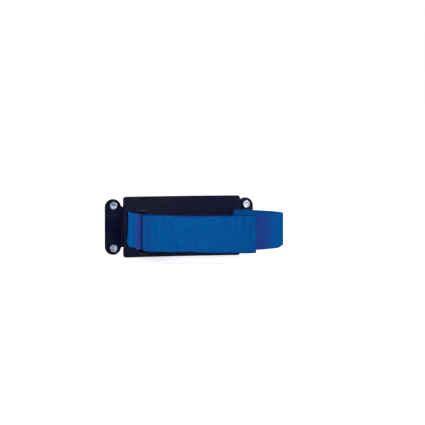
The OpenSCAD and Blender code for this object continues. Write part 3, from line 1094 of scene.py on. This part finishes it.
class BRACKET_OT_tab(bpy.types.Operator):
    """Loop the tab round the ring's bar"""

    bl_idname = "bracket.tab"
    bl_label = "Ring tab"

    def execute(self, context):
        settings = context.scene.bracket
        route = tab_route()
        pile = loop_pile("Brushed nylon loop tape, dyed blue", settings.tab_colour, "#253a7f", "#1f4fa2")
        fold = route.distance_to(TAB_BAR, 360 - TAB_BAR_ANGLE)

        def edges(distance):
            from_fold, spread_by = abs(distance - fold), (TAB_CLOTH_W - TAB_W) / 2
            low = TAB_W / 2 + spread_by * ramp(from_fold, *TAB_SPREAD_LOW)
            high = TAB_W / 2 + spread_by * ramp(from_fold, *TAB_SPREAD_HIGH)
            return -low, high

        tab = band(
            "loop_tab", route, edges, TAB_T, [pile], outer=0, inner=0,
            across=44, edge_r=0.5, lift=pile_lift(0.1, 1.2),
        )
        place(tab, "loop_fabric", "ring_tab")
        return {"FINISHED"}


# ---- ring
def wire_ring(enamel):
    """Oval ring of round wire: two bars, two short ends and four round corners."""
    width = np.linalg.norm(TONGUE_BAR - TAB_BAR)
    tall = RING_H - WIRE_D
    r, half_w, half_h = RING_CORNER_R, width / 2, tall / 2
    line = []
    for start, right, up in ((0, 1, 1), (90, -1, 1), (180, -1, -1), (270, 1, -1)):
        corner = np.array([right * (half_w - r), up * (half_h - r)])
        line += [(corner + r * unit(a), unit(a)) for a in np.linspace(start, start + 90, 19)]
    across = (TONGUE_BAR - TAB_BAR) / width
    middle = (TONGUE_BAR + TAB_BAR) / 2
    sideways = Vector((*across, 0))
    depth = Vector((across[1], -across[0], 0))
    dense, spacing = [], 1.5
    for i, (point, out) in enumerate(line):
        ahead, next_out = line[(i + 1) % len(line)]
        steps = max(1, round(np.linalg.norm(ahead - point) / spacing))
        for k in range(steps):
            dense.append((point + (ahead - point) * k / steps, out + (next_out - out) * k / steps))
    sides = 28
    vertices = []
    for point, out in dense:
        centre = Vector((*middle, RING_Z)) + float(point[0]) * sideways + Vector((0, 0, point[1]))
        outward = (float(out[0]) * sideways + Vector((0, 0, out[1]))).normalized()
        unevenness = 0.03 * noise.noise(Vector((point[0] / 6, point[1] / 6, 0)))
        vertices += circle(centre, WIRE_D / 2 + unevenness, outward, depth, sides)
    faces = tube_faces(len(dense), sides, closed=True)
    ring = mesh_object("wire_ring", vertices, faces, [enamel])
    make_normals_outward(ring)
    return ring


class BRACKET_OT_ring(bpy.types.Operator):
    """Bend the oval ring that the tongue passes through"""

    bl_idname = "bracket.ring"
    bl_label = "Ring"

    def execute(self, context):
        ring = wire_ring(enamelled_wire(context.scene.bracket.enamel_colour))
        place(ring, "enamelled_wire", "ring")
        return {"FINISHED"}


# ---- stitching
class BRACKET_OT_stitching(bpy.types.Operator):
    """Sew the tab into the strap's end and the tongue to the strap"""

    bl_idname = "bracket.stitching"
    bl_label = "Stitching"

    def execute(self, context):
        settings = context.scene.bracket
        thread = sewing_thread(settings.sewing_colour)
        strap, tongue, tab = strap_route(), tongue_route(), tab_route()
        reach, tab_reach = STRAP_W / 2 - SEW_MARGIN, TAB_W / 2 - TAB_SEW_MARGIN
        end_row = strap.distance_to(AXIS, 270 - SEWN_ANGLE, first=False)
        tab_row = tab.distance_to(AXIS, 270 - SEWN_ANGLE, first=False)

        def row(route, at, half_width, face):
            return route, (at, -half_width), (at, half_width), face, 15

        runs = []
        for offset in (0.0, ROW_GAP):
            runs.append(row(strap, end_row - offset, reach, STRAP_T / 2))
            runs.append(row(tab, tab_row + offset, tab_reach, TAB_T / 2))
        place(stitches("tab_stitching", runs, thread), "webbing")

        # rows each side of the seam and a zigzag over it, on the face that lies against the cylinder
        seam, zigzags = [], 14
        for at in (1.6, 4.2):
            seam.append(row(strap, at, reach, -STRAP_T / 2))
            seam.append(row(tongue, at, reach, TONGUE_T / 2))
        for i in range(zigzags):
            low = -reach + 2 * reach * i / zigzags
            seam.append((strap, (0.3, low), (2.4, low + reach / zigzags), -STRAP_T / 2, 1))
        place(stitches("seam_stitching", seam, thread), "webbing")
        return {"FINISHED"}


# ---- stage
def point_at(obj, location, direction):
    """Puts a lamp or camera at a location, looking along a direction."""
    obj.location = location
    obj.rotation_mode = "QUATERNION"
    obj.rotation_quaternion = direction.to_track_quat("-Z", "Y")


def area_light(name, location, aim, size, watts):
    """Soft rectangular lamp that looks at a point."""
    lamp = bpy.data.lights.new(name, "AREA")
    lamp.shape = "RECTANGLE"
    lamp.size, lamp.size_y = size
    lamp.energy = watts
    point_at(new_object(name, lamp), location, aim - Vector(location))


def studio_world(level):
    """Even light all round, which the camera sees as plain white."""
    world = bpy.data.worlds.new("studio")
    bpy.context.scene.world = world
    world.use_nodes = True
    tree = world.node_tree
    tree.nodes.clear()
    seen = add(tree, "LightPath").outputs["Is Camera Ray"]
    strength = spread(tree, seen, 0, 1, level, 1.0)
    light = add(tree, "Background", {"Color": (1, 1, 1, 1), "Strength": strength})
    add(tree, "OutputWorld", {"Surface": light.outputs[0]})


def studio_floor(colour):
    """Pale painted floor: white to the camera where it is lit, with the bracket's soft shadow."""

    def build(tree, where):
        rays = add(tree, "LightPath")
        blotches = spread(tree, grain(tree, where, 30), 0.3, 0.7)
        tint = blended(tree, blotches, colour, "#eaeaea")
        paint = add(tree, "BsdfDiffuse", {"Color": tint})
        own_light = worked(tree, "MULTIPLY", rays.outputs["Is Camera Ray"], 0.52)
        glow = add(tree, "Emission", {"Color": (1, 1, 1, 1), "Strength": own_light})
        return add(tree, "AddShader", {0: paint.outputs[0], 1: glow.outputs[0]})

    return material("Matt white floor paint, rolled", build)


class BRACKET_OT_stage(bpy.types.Operator):
    """Set the floor, the lamps and the camera"""

    bl_idname = "bracket.stage"
    bl_label = "Stage"

    def execute(self, context):
        settings = context.scene.bracket
        scene = context.scene
        scene.view_settings.view_transform = "Standard"
        studio_world(settings.light_level)

        half = 30.0  # metres, so that its edges are out of sight
        ground = cad_low.z - 0.5 * MM
        mesh = bpy.data.meshes.new("floor")
        mesh.from_pydata(
            [(-half, -half, ground), (half, -half, ground), (half, half, ground), (-half, half, ground)],
            [], [(0, 1, 2, 3)],
        )
        mesh.materials.append(studio_floor(settings.floor_colour))
        floor = new_object("floor", mesh)

        aim = Vector(settings.view_aim)
        area_light("key lamp", (-1.9, -1.2, 1.3), aim, (1.2, 1.2), 24)
        area_light("side lamp", (1.2, -1.8, 0.7), aim, (1.0, 1.2), 9)
        area_light("back lamp", (0.3, 1.6, 1.4), aim, (1.2, 0.8), 8)

        camera_data = bpy.data.cameras.new("camera")
        camera_data.lens = 184
        camera_data.sensor_width = 36
        azimuth, elevation = math.radians(-20), math.radians(2.5)
        back = Vector((
            math.sin(azimuth) * math.cos(elevation),
            -math.cos(azimuth) * math.cos(elevation),
            math.sin(elevation),
        ))
        scene.camera = new_object("camera", camera_data)
        point_at(scene.camera, aim + settings.view_distance * back, -back)
        return {"FINISHED"}


# ---- add-on
OPERATORS = (
    BRACKET_OT_plate,
    BRACKET_OT_bolts,
    BRACKET_OT_strap,
    BRACKET_OT_ring,
    BRACKET_OT_tongue,
    BRACKET_OT_tab,
    BRACKET_OT_stitching,
    BRACKET_OT_stage,
)


class BRACKET_PT_panel(bpy.types.Panel):
    """Sizes, colours and building steps of the bracket"""

    bl_idname = "BRACKET_PT_panel"
    bl_label = "Gas cylinder bracket"
    bl_space_type = "VIEW_3D"
    bl_region_type = "UI"
    bl_category = "Bracket"

    def draw(self, context):
        settings = context.scene.bracket
        column = self.layout.column()
        for name in BracketSettings.__annotations__:
            column.prop(settings, name)
        for operator in OPERATORS:
            column.operator(operator.bl_idname)


CLASSES = (BracketSettings, *OPERATORS, BRACKET_PT_panel)


def register():
    for cls in CLASSES:
        bpy.utils.register_class(cls)
    bpy.types.Scene.bracket = PointerProperty(type=BracketSettings)


def unregister():
    del bpy.types.Scene.bracket
    for cls in reversed(CLASSES):
        bpy.utils.unregister_class(cls)


def main():
    register()
    for operator in OPERATORS:
        group, step = operator.bl_idname.split(".")
        getattr(getattr(bpy.ops, group), step)()


if __name__ == "__main__":
    main()
